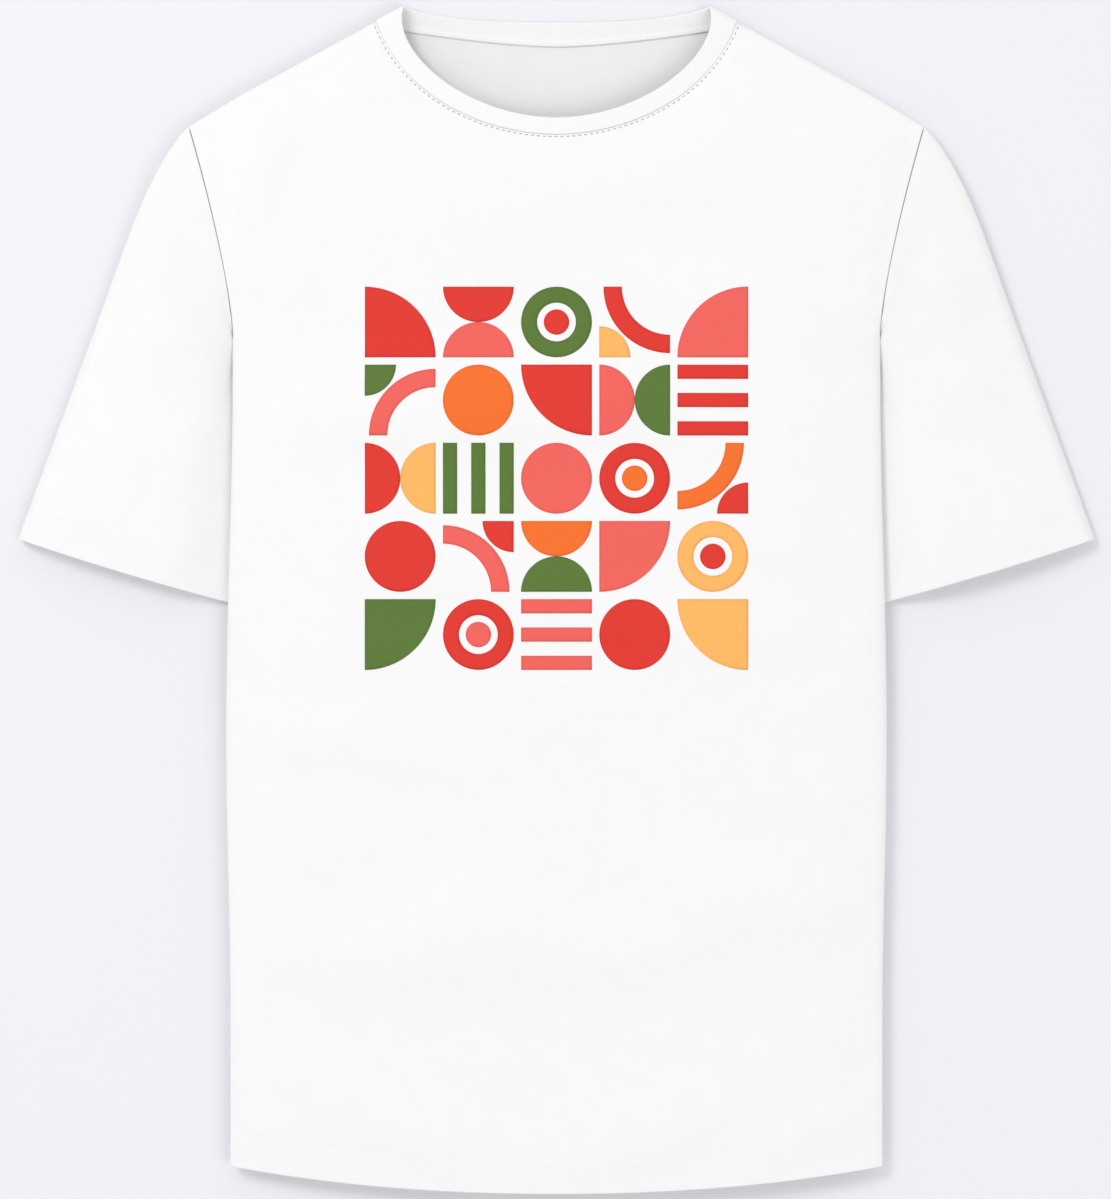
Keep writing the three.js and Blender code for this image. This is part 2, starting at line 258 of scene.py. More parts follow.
def panel_side(w):
    down = lerp(HEM_CORNER[1], SHOULDER_POINT[1], w)
    return np.stack([half_width(down), down], axis=-1)


def panel_places(neck_seam, u, v):
    """Across and down at u, v of a body panel."""
    top = panel_top(neck_seam)
    middle_top = neck_seam(np.ones(()))
    p = patch(
        hem_place, top, lambda w: mix(HEM_MIDDLE, middle_top, w), panel_side, np.abs(u), v
    )
    return np.sign(u) * p[..., 0], p[..., 1]


# ---- how high the cloth lies ------------------------------------------------

ARMHOLE_REACH = 45.0
ROUND_RADIUS = 6.0
ROUND_SHARE = 0.45
CREST_REACH = 110.0
CHEST_RISE_DOWN = (60, 230)  # where the crest rises to the chest's
HEM_FALL_DOWN = (420, LENGTH)  # and falls to the hem's
BACK_SIDE_DROP = 22.0  # what the back takes to come down from its side folds
BACK_SHOULDER_DROP = 12.0
STACK_STARTS = 30.0  # below the armpit, what a tucked sleeve takes to lift the back
STACK_ENDS = (40, 110)  # below the cuff, where that fades out
STACK_EDGE = (3, 24)  # and inside the tucked fold


def inside_shoulder(across, down):
    chain = [COLLAR_PEAK, NECK_POINT, SHOULDER_BEND, SHOULDER_POINT]
    runs = [distance_to_segment(across, down, a, b) for a, b in zip(chain, chain[1:])]
    return np.minimum.reduce(runs)


def inside_side(across, down):
    inside = np.maximum(0, half_width(down) - across)
    return inside + ARMHOLE_REACH * smoothstep(0, 0.5, 1 - armhole_share(down))


def rise_from(inside, reach):
    tight = ROUND_SHARE * quarter_round(inside / ROUND_RADIUS)
    return tight + (1 - ROUND_SHARE) * ease_out(inside / reach)


def front_height(across, down):
    across = np.abs(across)
    crest = lerp(NECK_CREST, CHEST_CREST, smoothstep(*CHEST_RISE_DOWN, down))
    crest = crest + (HEM_CREST - CHEST_CREST) * smoothstep(*HEM_FALL_DOWN, down)
    rise = rise_from(inside_side(across, down), CREST_REACH)
    return FOLD + crest * rise * rise_from(inside_shoulder(across, down), CREST_REACH)


def underlay(across, down):
    """How far a sleeve that is tucked beneath the back lifts it."""
    untucked = half_width(down) - across - tuck_at(down)
    along = smoothstep(0, STACK_STARTS, down - ARMPIT[1])
    along = along * (1 - smoothstep(*STACK_ENDS, down - CUFF_INNER[1]))
    return SLEEVE_STACK * along * (1 - smoothstep(*STACK_EDGE, untucked))


def back_height(across, down, thickness=JERSEY):
    across = np.abs(across)
    drop = quarter_round(inside_side(across, down) / BACK_SIDE_DROP)
    drop = drop * quarter_round(inside_shoulder(across, down) / BACK_SHOULDER_DROP)
    return FOLD - (FOLD - thickness / 2 - underlay(across, down)) * drop


# ---- the sleeves' shape -----------------------------------------------------

CAP_SHARE = 0.3
LEDGE = 0.6  # from the body's side to the sleeve, at the armpit
LEDGE_STARTS = 0.9  # the share of the armhole, from the shoulder
LEDGE_SHARE = 0.04  # of the sleeve's length, where it ends again
OUTER_FOLD_FALL = 0.6  # the share of it over which the folds come down
INNER_FOLD_FALL = 0.12
STACK_RISE = 1.6
CUFF_REACH = 60.0
BODY_REACH = 46.0
BODY_MARGIN = 4.0  # inside the body's side, where the sleeve starts to arch
UNDERARM_ROUND = 2.0
UNDERSIDE_ROUND = 14.0
FOLDS_MEET = 6.0  # from a fold, where the layers start to come together
CAP_EASING = 0.06  # of its length, what its top takes to leave the body's height
CAP_EASING_OUTER = 0.5  # and how much more beside its outer fold
UNDERSIDE_EASING = 0.2


def inner_fold(v):
    down = lerp(ARMPIT[1], CUFF_CORNER_DOWN, v)
    ledge = LEDGE * (1 - smoothstep(LEDGE_SHARE, 2 * LEDGE_SHARE, v))
    tuck = tuck_at(down) * smoothstep(LEDGE_SHARE, 3 * LEDGE_SHARE, v)
    return np.stack([half_width(down) + ledge - tuck, down], axis=-1)


def armhole_edge(q):
    down = lerp(SHOULDER_POINT[1], ARMPIT[1], q)
    gap = LEDGE * smoothstep(LEDGE_STARTS, 1, q)
    return np.stack([half_width(down) + gap, down], axis=-1)


def outer_fold(v):
    cap = quadratic(
        armhole_edge(np.zeros(())),
        SLEEVE_CAP_HANDLE,
        SLEEVE_CAP_END,
        np.clip(v / CAP_SHARE, 0, 1),
    )
    straight = mix(SLEEVE_CAP_END, CUFF_OUTER, (v - CAP_SHARE) / (1 - CAP_SHARE))
    return np.where((v < CAP_SHARE)[..., None], cap, straight)


def cuff_edge(q):
    return quadratic(CUFF_OUTER, CUFF_HANDLE, inner_fold(np.ones(())), q)


def sleeve_places(q, v):
    p = patch(armhole_edge, cuff_edge, outer_fold, inner_fold, q, v)
    return p[..., 0], p[..., 1]


def from_folds(q, v):
    width = np.linalg.norm(outer_fold(v) - inner_fold(v), axis=-1)
    return q * width, (1 - q) * width


def outer_fold_height(v):
    return lerp(FOLD, CUFF_FOLD, smoothstep(0, OUTER_FOLD_FALL, v))


def inner_fold_height(v):
    return lerp(FOLD, UNDERARM_FOLD, smoothstep(0, INNER_FOLD_FALL, v))


def eased_from(height_of, easing, q, v, laid):
    """Leaves a body panel's height, at the armhole, for the sleeve's own."""
    at_armhole = armhole_edge(q)
    height = height_of(at_armhole[..., 0], at_armhole[..., 1])
    return lerp(height, laid, smoothstep(0, easing, v))


def sleeve_top(q, v):
    from_outer, from_inner = from_folds(q, v)
    arch_start = tuck_at(lerp(ARMPIT[1], CUFF_CORNER_DOWN, v)) - BODY_MARGIN
    clear_of_body = smoothstep(arch_start, arch_start + BODY_REACH, from_inner)
    arched = lerp(UNDERARM_FOLD + STACK_RISE, CUFF_FOLD, clear_of_body)
    arched = arched + CUFF_CREST * rise_from(from_outer, CUFF_REACH) * clear_of_body
    folds = lerp(outer_fold_height(v), inner_fold_height(v), smoothstep(0.3, 1, q))
    inner_share = quarter_round(from_inner / UNDERARM_ROUND)
    laid = lerp(folds, arched, inner_share * quarter_round(from_outer / ROUND_RADIUS))
    easing = CAP_EASING + CAP_EASING_OUTER * (1 - smoothstep(0.7, 1, q))
    return eased_from(front_height, easing, q, v, laid)


def sleeve_underside(q, v):
    from_outer, from_inner = from_folds(q, v)
    outer_fall = quarter_round(from_outer / UNDERSIDE_ROUND)
    inner_fall = quarter_round(from_inner / UNDERARM_ROUND)
    outer = lerp(outer_fold_height(v), JERSEY / 2, outer_fall)
    inner = lerp(inner_fold_height(v), JERSEY / 2, inner_fall)
    laid = np.where(q < 0.5, outer, inner)
    height = eased_from(back_height, UNDERSIDE_EASING, q, v, laid)
    # Both layers are as high as each other along the folds.
    fold = np.round(q)
    laid = np.where(fold < 0.5, outer_fold_height(v), inner_fold_height(v))
    lower = eased_from(back_height, UNDERSIDE_EASING, fold, v, laid)
    short = sleeve_top(fold, v) - lower
    from_fold = np.where(q < 0.5, from_outer, from_inner)
    return height + short * (1 - quarter_round(from_fold / FOLDS_MEET))


# ---- how the upper layer settles --------------------------------------------
# Blender's cloth is cut a little larger than the space it lies in, and sinks
# on to a soft form under its own weight. Where it is sewn or folded it is
# held. What it moves by is then added to every piece of the upper layer.

SIM_ACROSS = 72  # columns of squares over the body
SIM_ARMHOLE = 22  # rows of squares beside an armhole, and across a sleeve
SIM_SIDE = 88  # rows from the hem to the armpit
SIM_SLEEVE = 34  # rows along a sleeve
SIM_FRAMES = 36
SIM_SURPLUS = (0.002, 0.022)  # how much larger the cloth is cut, least and most
SIM_SINK = 4.0  # how far below it the soft form lies, away from what is held
SIM_SINK_REACH = 40.0
SIM_GAP = 1.0  # between cloth and form where it is held
SIM_START = 1.6  # unevenness of the cloth as it is put down
SIM_START_REACH = 30.0
SIM_START_WAVE = 110.0
SIM_SURPLUS_WAVE = 170.0
SIM_WAVES = 14  # that add up to an unevenness
SIM_TUCKED = 0.82  # the share of a sleeve's width from which the body lies on it
SIM_SKIN = 0.0005  # between cloth and form when they touch, in metres
SIM_STRETCH = 18.0
SIM_CLOTH = {
    "quality": 6,
    "mass": 0.001,
    "air_damping": 2.0,
    "tension_stiffness": SIM_STRETCH,
    "compression_stiffness": SIM_STRETCH,
    "shear_stiffness": SIM_STRETCH / 3,
    "bending_stiffness": 12.0,
    "tension_damping": 6.0,
    "compression_damping": 6.0,
    "bending_damping": 0.6,
    "vertex_group_shrink": "fullness",
    "shrink_min": -SIM_SURPLUS[0],
    "shrink_max": -SIM_SURPLUS[1],
    "vertex_group_mass": "held",
    "pin_stiffness": 1.0,
}


def unevenness(points, seed, wave):
    """A smooth random field over places on the cloth, from about -1 to 1."""
    rng = np.random.default_rng(seed)
    total = np.zeros(len(points))
    for _ in range(SIM_WAVES):
        angle, phase = rng.uniform(0, 2 * math.pi, 2)
        length = wave * rng.uniform(0.6, 1.8)
        along = points[:, 0] * math.cos(angle) + points[:, 1] * math.sin(angle)
        total += np.sin(2 * math.pi * along / length + phase)
    return total / (SIM_WAVES / 4)


def sim_grids():
    """The upper layer's starting shape: body, and the left sleeve."""
    even = np.linspace(-1, 1, SIM_ACROSS + 1)
    u = lerp(even, np.sin(even * math.pi / 2), 0.5)
    side = np.linspace(0, ARMPIT_V, SIM_SIDE + 1)
    armhole = np.linspace(ARMPIT_V, 1, SIM_ARMHOLE + 1)
    v = np.concatenate([side, armhole[1:]])
    uu, vv = np.meshgrid(u, v)
    across, down = panel_places(front_neck_seam, uu, vv)
    body = stack(across, down, front_height(across, down))
    q, w = np.meshgrid(np.linspace(0, 1, SIM_ARMHOLE + 1), np.linspace(0, 1, SIM_SLEEVE + 1))
    across, down = sleeve_places(q, w)
    sleeve = stack(across, down, sleeve_top(q, w))
    return body, sleeve


def upper_layer():
    """Its points, its squares, which points are held and how many are the body's."""
    body, sleeve = sim_grids()
    body_count = body[..., 0].size
    body_index = np.arange(body_count).reshape(body.shape[:2])
    points = [body.reshape(-1, 3)]
    faces = [corners_of(body_index).reshape(-1, 4)]
    held = [body_index[0], body_index[-1], body_index[:, 0], body_index[:, -1]]
    count = body_count
    for side, column in ((1, -1), (-1, 0)):
        # A sleeve's first row is the body's armhole.
        own = count + np.arange(sleeve[1:, :, 0].size).reshape(sleeve[1:].shape[:2])
        index = np.concatenate([body_index[SIM_SIDE:, column][None, ::-1], own])
        count += own.size
        points.append((sleeve[1:] * [side, 1, 1]).reshape(-1, 3))
        faces.append(corners_of(index).reshape(-1, 4)[:, ::side])
        tucked = own[:, int(SIM_TUCKED * SIM_ARMHOLE) :]
        held += [index[:, 0], index[-1], tucked.ravel()]
    points = np.concatenate(points)
    is_held = np.zeros(len(points), bool)
    is_held[np.concatenate(held)] = True
    return points, np.concatenate(faces).tolist(), is_held, body_count


def distance_to_held(points, held):
    nearest = np.full(len(points), np.inf)
    for some in np.array_split(points[held, :2], 40):
        gap = points[:, None, :2] - some
        nearest = np.minimum(nearest, np.sqrt((gap**2).sum(-1)).min(1))
    return nearest


def soft_form(points, faces):
    form = mesh_object("form", points, faces)
    form.modifiers.new("Collision", "COLLISION")
    form.collision.thickness_outer = SIM_SKIN
    form.collision.cloth_friction = 4.0
    return form


def settling_cloth(points, faces, held, fullness):
    cloth = mesh_object("settling", points, faces)
    group = cloth.vertex_groups.new(name="held")
    group.add(np.flatnonzero(held).tolist(), 1.0, "REPLACE")
    group = cloth.vertex_groups.new(name="fullness")
    for i, share in enumerate(fullness):
        group.add([i], float(share), "REPLACE")
    modifier = cloth.modifiers.new("Cloth", "CLOTH")
    for key, value in SIM_CLOTH.items():
        setattr(modifier.settings, key, value)
    modifier.collision_settings.distance_min = SIM_SKIN
    modifier.collision_settings.use_self_collision = False
    modifier.point_cache.frame_start = 1
    modifier.point_cache.frame_end = SIM_FRAMES
    return cloth


def settle():
    """The upper layer's points, how far each rises, and how many are the body's."""
    points, faces, held, body_count = upper_layer()
    from_held = distance_to_held(points, held)
    up = np.array([0, 0, 1])
    dip = SIM_SINK * smoothstep(0, SIM_SINK_REACH, from_held)
    lift = SIM_START * (1 + unevenness(points, 3, SIM_START_WAVE))
    lift *= smoothstep(0, SIM_START_REACH, from_held)
    fullness = np.clip(0.5 + 0.5 * unevenness(points, 7, SIM_SURPLUS_WAVE), 0, 1)
    form = soft_form(points - up * (SIM_GAP + dip)[:, None], faces)
    cloth = settling_cloth(points + up * lift[:, None], faces, held, fullness)

    scene = bpy.context.scene
    for number in range(1, SIM_FRAMES + 1):
        scene.frame_set(number)
    evaluated = cloth.evaluated_get(bpy.context.evaluated_depsgraph_get())
    settled = np.empty(len(points) * 3)
    evaluated.data.vertices.foreach_get("co", settled)
    rise = settled.reshape(-1, 3)[:, 2] / MM - points[:, 2] + dip
    rise[held] = 0
    scene.frame_set(1)
    for obj in (cloth, form):
        bpy.data.meshes.remove(obj.data)  # and the object with it
    return points, rise, body_count


FIELD_STEP = 4.0
FIELD_REACH = np.array([344.0, 376.0])
FIELD_SHAPE = tuple((2 * FIELD_REACH / FIELD_STEP).astype(int)[::-1] + 1)
FIELD_PASSES = 6


def smoothed(field):
    """A field with each point drawn, a little at a time, to its neighbours' mean."""
    for _ in range(FIELD_PASSES):
        for axis in (0, 1):
            size = field.shape[axis]
            padded = np.pad(field, [(1, 1) if a == axis else (0, 0) for a in (0, 1)])
            around = padded.take(range(size), axis) + padded.take(range(2, size + 2), axis)
            field = 0.5 * field + 0.25 * around
    return field


def field_from(points, rise):
    """Scattered heights as a smooth field over the whole shirt."""
    place = (points[:, :2] + FIELD_REACH) / FIELD_STEP
    column, row = np.floor(place).astype(int).T
    right, up = (place % 1).T
    total, count = np.zeros(FIELD_SHAPE), np.zeros(FIELD_SHAPE)
    for i, row_share in ((0, 1 - up), (1, up)):
        for j, column_share in ((0, 1 - right), (1, right)):
            share = row_share * column_share
            np.add.at(total, (row + i, column + j), rise * share)
            np.add.at(count, (row + i, column + j), share)
    return smoothed(total) / np.maximum(smoothed(count), 1e-3)


def sampled(field, x, y):
    """A field at places between its points, on smooth curves."""

    def weights(t):
        return [
            ((-t + 2) * t - 1) * t / 2,
            ((3 * t - 5) * t * t + 2) / 2,
            ((-3 * t + 4) * t + 1) * t / 2,
            (t - 1) * t * t / 2,
        ]

    columns = (x + FIELD_REACH[0]) / FIELD_STEP
    rows = (y + FIELD_REACH[1]) / FIELD_STEP
    column, row = np.floor(columns).astype(int), np.floor(rows).astype(int)
    total = np.zeros(np.shape(x))
    for i, row_weight in enumerate(weights(rows - row)):
        for j, column_weight in enumerate(weights(columns - column)):
            total += row_weight * column_weight * field[row + i - 1, column + j - 1]
    return total


def drapes():
    """How far the upper layer rises as it settles, on the body and on the sleeves."""
    points, rise, body_count = settle()
    return (
        field_from(points[:body_count], rise[:body_count]),
        field_from(points[body_count:], rise[body_count:]),
    )


body_drape, sleeve_drape = drapes()

# ---- sheets of cloth --------------------------------------------------------


def tangents(grid, axis, closed):
    if closed:
        step = unit(np.roll(grid, -1, axis) - grid)
        return step + np.roll(step, 1, axis)
    step = unit(np.diff(grid, axis=axis))
    first = step.take([0], axis)
    last = step.take([-1], axis)
    return np.concatenate([first, step], axis) + np.concatenate([step, last], axis)


def normals(grid, closed=False):
    return unit(np.cross(tangents(grid, 1, closed), tangents(grid, 0, False)))


def closed_grid(grid):
    return np.concatenate([grid, grid[:, :1]], axis=1)


def closed_normals(grid):
    return closed_grid(normals(grid[:, :-1], closed=True))


def cloth_lengths(grid, axis, parts):
    """How far along the cloth each point is, counting only some directions."""
    step = np.linalg.norm(np.diff(grid, axis=axis)[..., parts], axis=-1)
    start = np.zeros_like(step.take([0], axis))
    return np.concatenate([start, np.cumsum(step, axis)], axis)


def both_lengths(grid):
    """How far along the cloth each point is: round it, and from one end."""
    return np.stack([cloth_lengths(grid, axis, [0, 1, 2]) for axis in (1, 0)], -1)


class Solid:
    """Closed sheets of cloth that make one mesh.

    A sheet's outer face takes the first material and its inner face the
    second. lengths holds the cloth's own two coordinates at each point, for
    the knit.
    """

    def __init__(self):
        self.points, self.faces, self.lengths, self.slots = [], [], [], []
        self.count = 0

    def add_sheet(self, grid, thickness, lengths, closed=False):
        """A sheet round a grid of points in its middle.

        A closed sheet's last column lies on its first, and only the first is used.
        """
        middle = grid[:, :-1] if closed else grid
        out = normals(middle, closed) * np.asarray(thickness)[..., None] / 2
        rows, columns = middle.shape[:2]
        layer = rows * columns
        outer = self.count + np.arange(layer).reshape(rows, columns)
        if closed:
            outer = closed_grid(outer)
        inner = outer + layer
        self.points += [(middle + out).reshape(-1, 3), (middle - out).reshape(-1, 3)]
        self.count += 2 * layer

        self.add(outer, lengths)
        self.add(inner, lengths, slot=1)
        self.add_rim(inner[0], outer[0], lengths[0])
        self.add_rim(outer[-1], inner[-1], lengths[-1])
        if not closed:
            self.add_rim(outer[:, 0], inner[:, 0], lengths[:, 0])
            self.add_rim(inner[:, -1], outer[:, -1], lengths[:, -1])

    def add_rim(self, low, high, lengths):
        self.add(np.stack([low, high]), np.stack([lengths, lengths]))

    def add(self, index, lengths, slot=0):
        """Squares between points of a grid. The second slot's face the other way."""
        turn = -1 if slot else 1
        self.faces.append(corners_of(index)[:, :, ::turn].reshape(-1, 4))
        self.lengths.append(corners_of(lengths)[:, :, ::turn].reshape(-1, 2))
        self.slots.append(np.full(len(self.faces[-1]), slot))

    def make(self, name):
        faces = np.concatenate(self.faces).tolist()
        obj = mesh_object(name, np.concatenate(self.points), faces)
        mesh = obj.data
        lengths = np.concatenate(self.lengths) * MM
        mesh.uv_layers.new(name="cloth").data.foreach_set("uv", lengths.ravel())
        mesh.polygons.foreach_set("material_index", np.concatenate(self.slots))
        mesh.update()
        return obj


def sheet_object(name, grid, lengths, thickness=JERSEY, closed=False):
    solid = Solid()
    solid.add_sheet(grid, thickness, lengths, closed)
    return solid.make(name)


DRAW_REACH = 14.0  # how far from its edge a sheet is drawn back


def drawn_back(grid, amount):
    """The grid with its last row short of where it was, along the cloth."""
    step = np.linalg.norm(np.diff(grid, axis=0), axis=-1)
    from_end = np.concatenate([np.cumsum(step[::-1], 0)[::-1], np.zeros_like(step[:1])])
    wanted = from_end + amount * (1 - smoothstep(0, DRAW_REACH, from_end))
    drawn = grid.copy()
    for i in range(grid.shape[1]):
        for k in range(3):
            drawn[:, i, k] = np.interp(
                wanted[::-1, i], from_end[::-1, i], grid[::-1, i, k]
            )[::-1]
    return drawn


def trimmed(grid, first, last):
    """The grid with its first and last rows drawn back."""
    return drawn_back(drawn_back(grid, last)[::-1], first)[::-1]


SEAM_TRIM = 0.75  # sewn cloth turns down this far short of its seam line
SEAM_TURN = [(0.18, 0.08), (0.31, 0.37), (0.35, 0.75), (0.35, 1.0)]  # mm on, depths down


def seam_rows(grid, out, depth):
    """Rows past the grid's last one, where its edge turns down into a seam."""
    edge = grid[-1]
    beyond = unit(edge - grid[-2])
    down = np.broadcast_to(depth, edge.shape[:1])[:, None] * out
    return np.stack([edge + beyond * a - down * b for a, b in SEAM_TURN])


def rolled(grid, depth):
    """The grid with its last row turned down into a seam."""
    return np.concatenate([grid, seam_rows(grid, normals(grid)[-1], depth)])


def flipped(grid):
    """Columns for rows, so that the side edges come last."""
    return np.swapaxes(grid, 0, 1)


def rolled_sides(grid, depth):
    """The grid with its first and last columns turned down into seams."""
    out = normals(grid)
    last = seam_rows(flipped(grid), out[:, -1], depth)
    first = seam_rows(flipped(grid)[::-1], out[:, 0], depth)[::-1]
    return flipped(np.concatenate([first, flipped(grid), last]))


TURN_RADIUS = 0.42  # of the fold where a hem is turned up
TURN_REACH = TURN_RADIUS + JERSEY / 2
TURN_STEPS = 5


def turned_hem(grid, hem_rows, closed=False):
    """The grid with its first rows doubled inside, as a hem turned up."""
    out = normals(grid, closed)
    inner = (grid - 2 * TURN_RADIUS * out)[hem_rows::-1]
    beyond = unit(grid[0] - grid[1])
    turn = []
    for a in np.linspace(math.pi, 0, TURN_STEPS + 2)[1:-1]:
        down = out[0] * (1 - math.cos(a))
        turn.append(grid[0] + TURN_RADIUS * (beyond * math.sin(a) - down))
    return np.concatenate([inner, np.stack(turn), grid])


STATION_GAP = 4e-4


def merged(*lists):
    """Sorted stations, less those that lie too close together."""
    stations = np.unique(np.concatenate(lists))
    kept = [stations[0]]
    for s in stations[1:-1]:
        if s - kept[-1] > STATION_GAP and stations[-1] - s > STATION_GAP:
            kept.append(s)
    return np.array(kept + [stations[-1]])


def crowded(count, nearest):
    """Distances from an edge that lie closer together near it."""
    return np.arange(1, count + 1) ** 2 * nearest


def hem_stations(depth):
    """Distances from a hem's edge, close together at its turn and its inner edge."""
    return np.concatenate([[0, 0.5, 1.2, 2.1], np.arange(depth - 2.5, depth + 2, 0.8)])


# ---- the body panels --------------------------------------------------------

CLOTH_STEP = 3.3  # between points of the finished cloth
SEAM_DEPTH = 1.8
NECK_SEAM_DEPTH = 0.6  # over the neckband's own edge
HEM_SEAM_DEPTH = 0.1  # at the ends of a hem's inner layer
NECK_SEAM_CHANGE = 0.03  # the share of u over which the depth changes
DRAPE_MARGIN = 0.06  # the share of a sheet over which its settled shape begins
DRAPE_MARGIN_TOP = 0.025
DRAPE_MARGIN_UNDERARM = 0.2

HEM_RIDGE = 0.14  # how far sewing draws the cloth in at a hem's inner edge
HEM_RIDGE_WIDTH = 1.4
PUCKER = 0.07  # and how high the waves are that it leaves in a hem
PUCKER_FINE = 2.9  # their lengths, in mm a radian
PUCKER_COARSE = 5.3
PUCKER_DRIFT = 17.0
PUCKER_FADE_EDGE = 5.0
PUCKER_FADE_FOLD = 12.0

BACK_WAVES = [(41, 90, 0), (23, -57, 1), (71, 33, 2)]  # mm a radian in x, y; phase
BACK_WAVE_HEIGHT = 0.28
BACK_WAVE_LIFT = 0.6
BACK_WAVE_SIDES = (198, 150)  # x or y where the waves are none, and where full
BACK_WAVE_TOP = (290, 200)
BACK_WAVE_HEM = (-345, -300)


def panel_stations():
    count = int(2 * HEM_CORNER[0] / CLOTH_STEP)
    near_side = 1 - crowded(9, 0.16) / HEM_CORNER[0]
    u = merged(np.linspace(-1, 1, count + 1), near_side, -near_side)
    tall = HEM_CORNER[1] - SHOULDER_POINT[1]
    even = np.linspace(0, 1, int(tall / CLOTH_STEP) + 1)
    v = merged(even, hem_stations(HEM_DEPTH) / tall, 1 - crowded(8, 0.18) / tall)
    return u, v


def hem_relief(along, from_edge, depth):
    """How far sewing a hem draws the cloth in, a distance from its edge."""
    ridge = HEM_RIDGE * bump_at(depth, HEM_RIDGE_WIDTH, from_edge)
    fine = np.sin(along / PUCKER_FINE + 1.3 * np.sin(along / PUCKER_DRIFT))
    wave = fine + 0.6 * np.sin(along / PUCKER_COARSE + 2)
    hemmed = smoothstep(depth + 4, depth - 3, from_edge)
    hemmed = hemmed * smoothstep(0, PUCKER_FADE_EDGE, from_edge)
    return ridge - PUCKER * wave * hemmed


def body_panel(name, neck_seam, height_of, facing, lift):
    u, v = panel_stations()
    uu, vv = np.meshgrid(u, v)
    across, down = panel_places(neck_seam, uu, vv)
    grid = stack(across * facing, down, height_of(across, down))
    free = smoothstep(0, DRAPE_MARGIN_TOP, 1 - vv)
    free = free * smoothstep(0, DRAPE_MARGIN, 1 - np.abs(uu))
    grid[..., 2] += lift(grid[..., 0], grid[..., 1]) * free

    grid = trimmed(grid, TURN_REACH, SEAM_TRIM)
    grid = flipped(trimmed(flipped(grid), SEAM_TRIM, SEAM_TRIM))
    from_hem = np.linalg.norm(grid - grid[:1], axis=-1)
    relief = hem_relief(across, from_hem, HEM_DEPTH)
    grid = grid - normals(grid) * relief[..., None]
    hem_rows = int(np.searchsorted(from_hem[:, len(u) // 2], HEM_DEPTH))

    grid = turned_hem(grid, hem_rows)
    in_neck = 1 - smoothstep(NECK_U - NECK_SEAM_CHANGE, NECK_U, np.abs(u))
    grid = rolled(grid, lerp(SEAM_DEPTH, NECK_SEAM_DEPTH, in_neck))
    depth = np.full(len(grid), SEAM_DEPTH)
    depth[: hem_rows + 1 + TURN_STEPS] = HEM_SEAM_DEPTH
    grid = rolled_sides(grid, depth)
    wales = cloth_lengths(grid, 1, [0, 2])
    centre = grid.shape[1] // 2
    wales = wales - wales[:, centre : centre + 1]
    courses = cloth_lengths(grid, 0, [1, 2])
    return sheet_object(name, grid, np.stack([wales, courses], -1))


def back_waves(x, y):
    """Low waves in the lower layer, which never dip into what it lies on."""
    wave = sum(np.sin(x / a + y / b + phase) for a, b, phase in BACK_WAVES)
    clear = smoothstep(*BACK_WAVE_SIDES, np.abs(x)) * smoothstep(*BACK_WAVE_TOP, y)
    clear = clear * smoothstep(*BACK_WAVE_HEM, y)
    return np.maximum(0, BACK_WAVE_HEIGHT * (wave + BACK_WAVE_LIFT)) * clear


def settled_rise(x, y):
    return sampled(body_drape, x, y)


front = body_panel("front_cloth", front_neck_seam, front_height, 1, settled_rise)
back = body_panel("back_cloth", back_neck_seam, back_height, -1, back_waves)

# ---- the sleeves ------------------------------------------------------------

SLEEVE_RING = 132  # points round it
SLEEVE_EVENNESS = 0.35  # with 1 they are even, and with 0 they crowd at the folds
SLEEVE_LENGTH = 1.25 * (CUFF_CORNER_DOWN - ARMPIT[1])  # about, down its middle


def sleeve_stations():
    cuff = hem_stations(CUFF_DEPTH)
    even = np.linspace(0, 1, int(SLEEVE_LENGTH / CLOTH_STEP) + 1)
    return merged(even, 1 - cuff / SLEEVE_LENGTH, crowded(5, 0.2) / SLEEVE_LENGTH)


def sleeve_object(name, side):
    # Round from the inner fold, over the top.
    angle = math.pi + 2 * math.pi * np.linspace(0, 1, SLEEVE_RING + 1) * side
    eased = (1 - np.cos(angle)) / 2
    even = np.abs(np.mod(angle / math.pi + 1, 2) - 1)
    qq, vv = np.meshgrid(lerp(eased, even, SLEEVE_EVENNESS), sleeve_stations())
    is_top = np.broadcast_to(np.sin(angle) >= 0, qq.shape)
    across, down = sleeve_places(qq, vv)
    height = np.where(is_top, sleeve_top(qq, vv), sleeve_underside(qq, vv))
    grid = stack(across * side, down, height)
    free = smoothstep(0, DRAPE_MARGIN, vv) * smoothstep(0, DRAPE_MARGIN, qq)
    free = free * smoothstep(0, DRAPE_MARGIN_UNDERARM, 1 - qq)
    grid[..., 2] += sampled(sleeve_drape, grid[..., 0], grid[..., 1]) * free * is_top

    # Up from the cuff, and so the other way round to face outwards.
    grid = trimmed(grid[::-1, ::-1], TURN_REACH, SEAM_TRIM)
    from_cuff = np.linalg.norm(grid - grid[:1], axis=-1)
    from_inner_fold = np.linalg.norm(grid - grid[:, :1], axis=-1)
    relief = hem_relief(cloth_lengths(grid, 1, [0, 1, 2]), from_cuff, CUFF_DEPTH)
    relief = relief * smoothstep(0, PUCKER_FADE_FOLD, from_inner_fold)
    grid = grid - closed_normals(grid) * relief[..., None]
    cuff_rows = int(np.searchsorted(from_cuff[:, SLEEVE_RING // 4], CUFF_DEPTH))

    grid = closed_grid(turned_hem(grid[:, :-1], cuff_rows, closed=True))
    seam = seam_rows(grid, closed_normals(grid)[-1], SEAM_DEPTH)
    grid = np.concatenate([grid, seam])
    return sheet_object(name, grid, both_lengths(grid), closed=True)


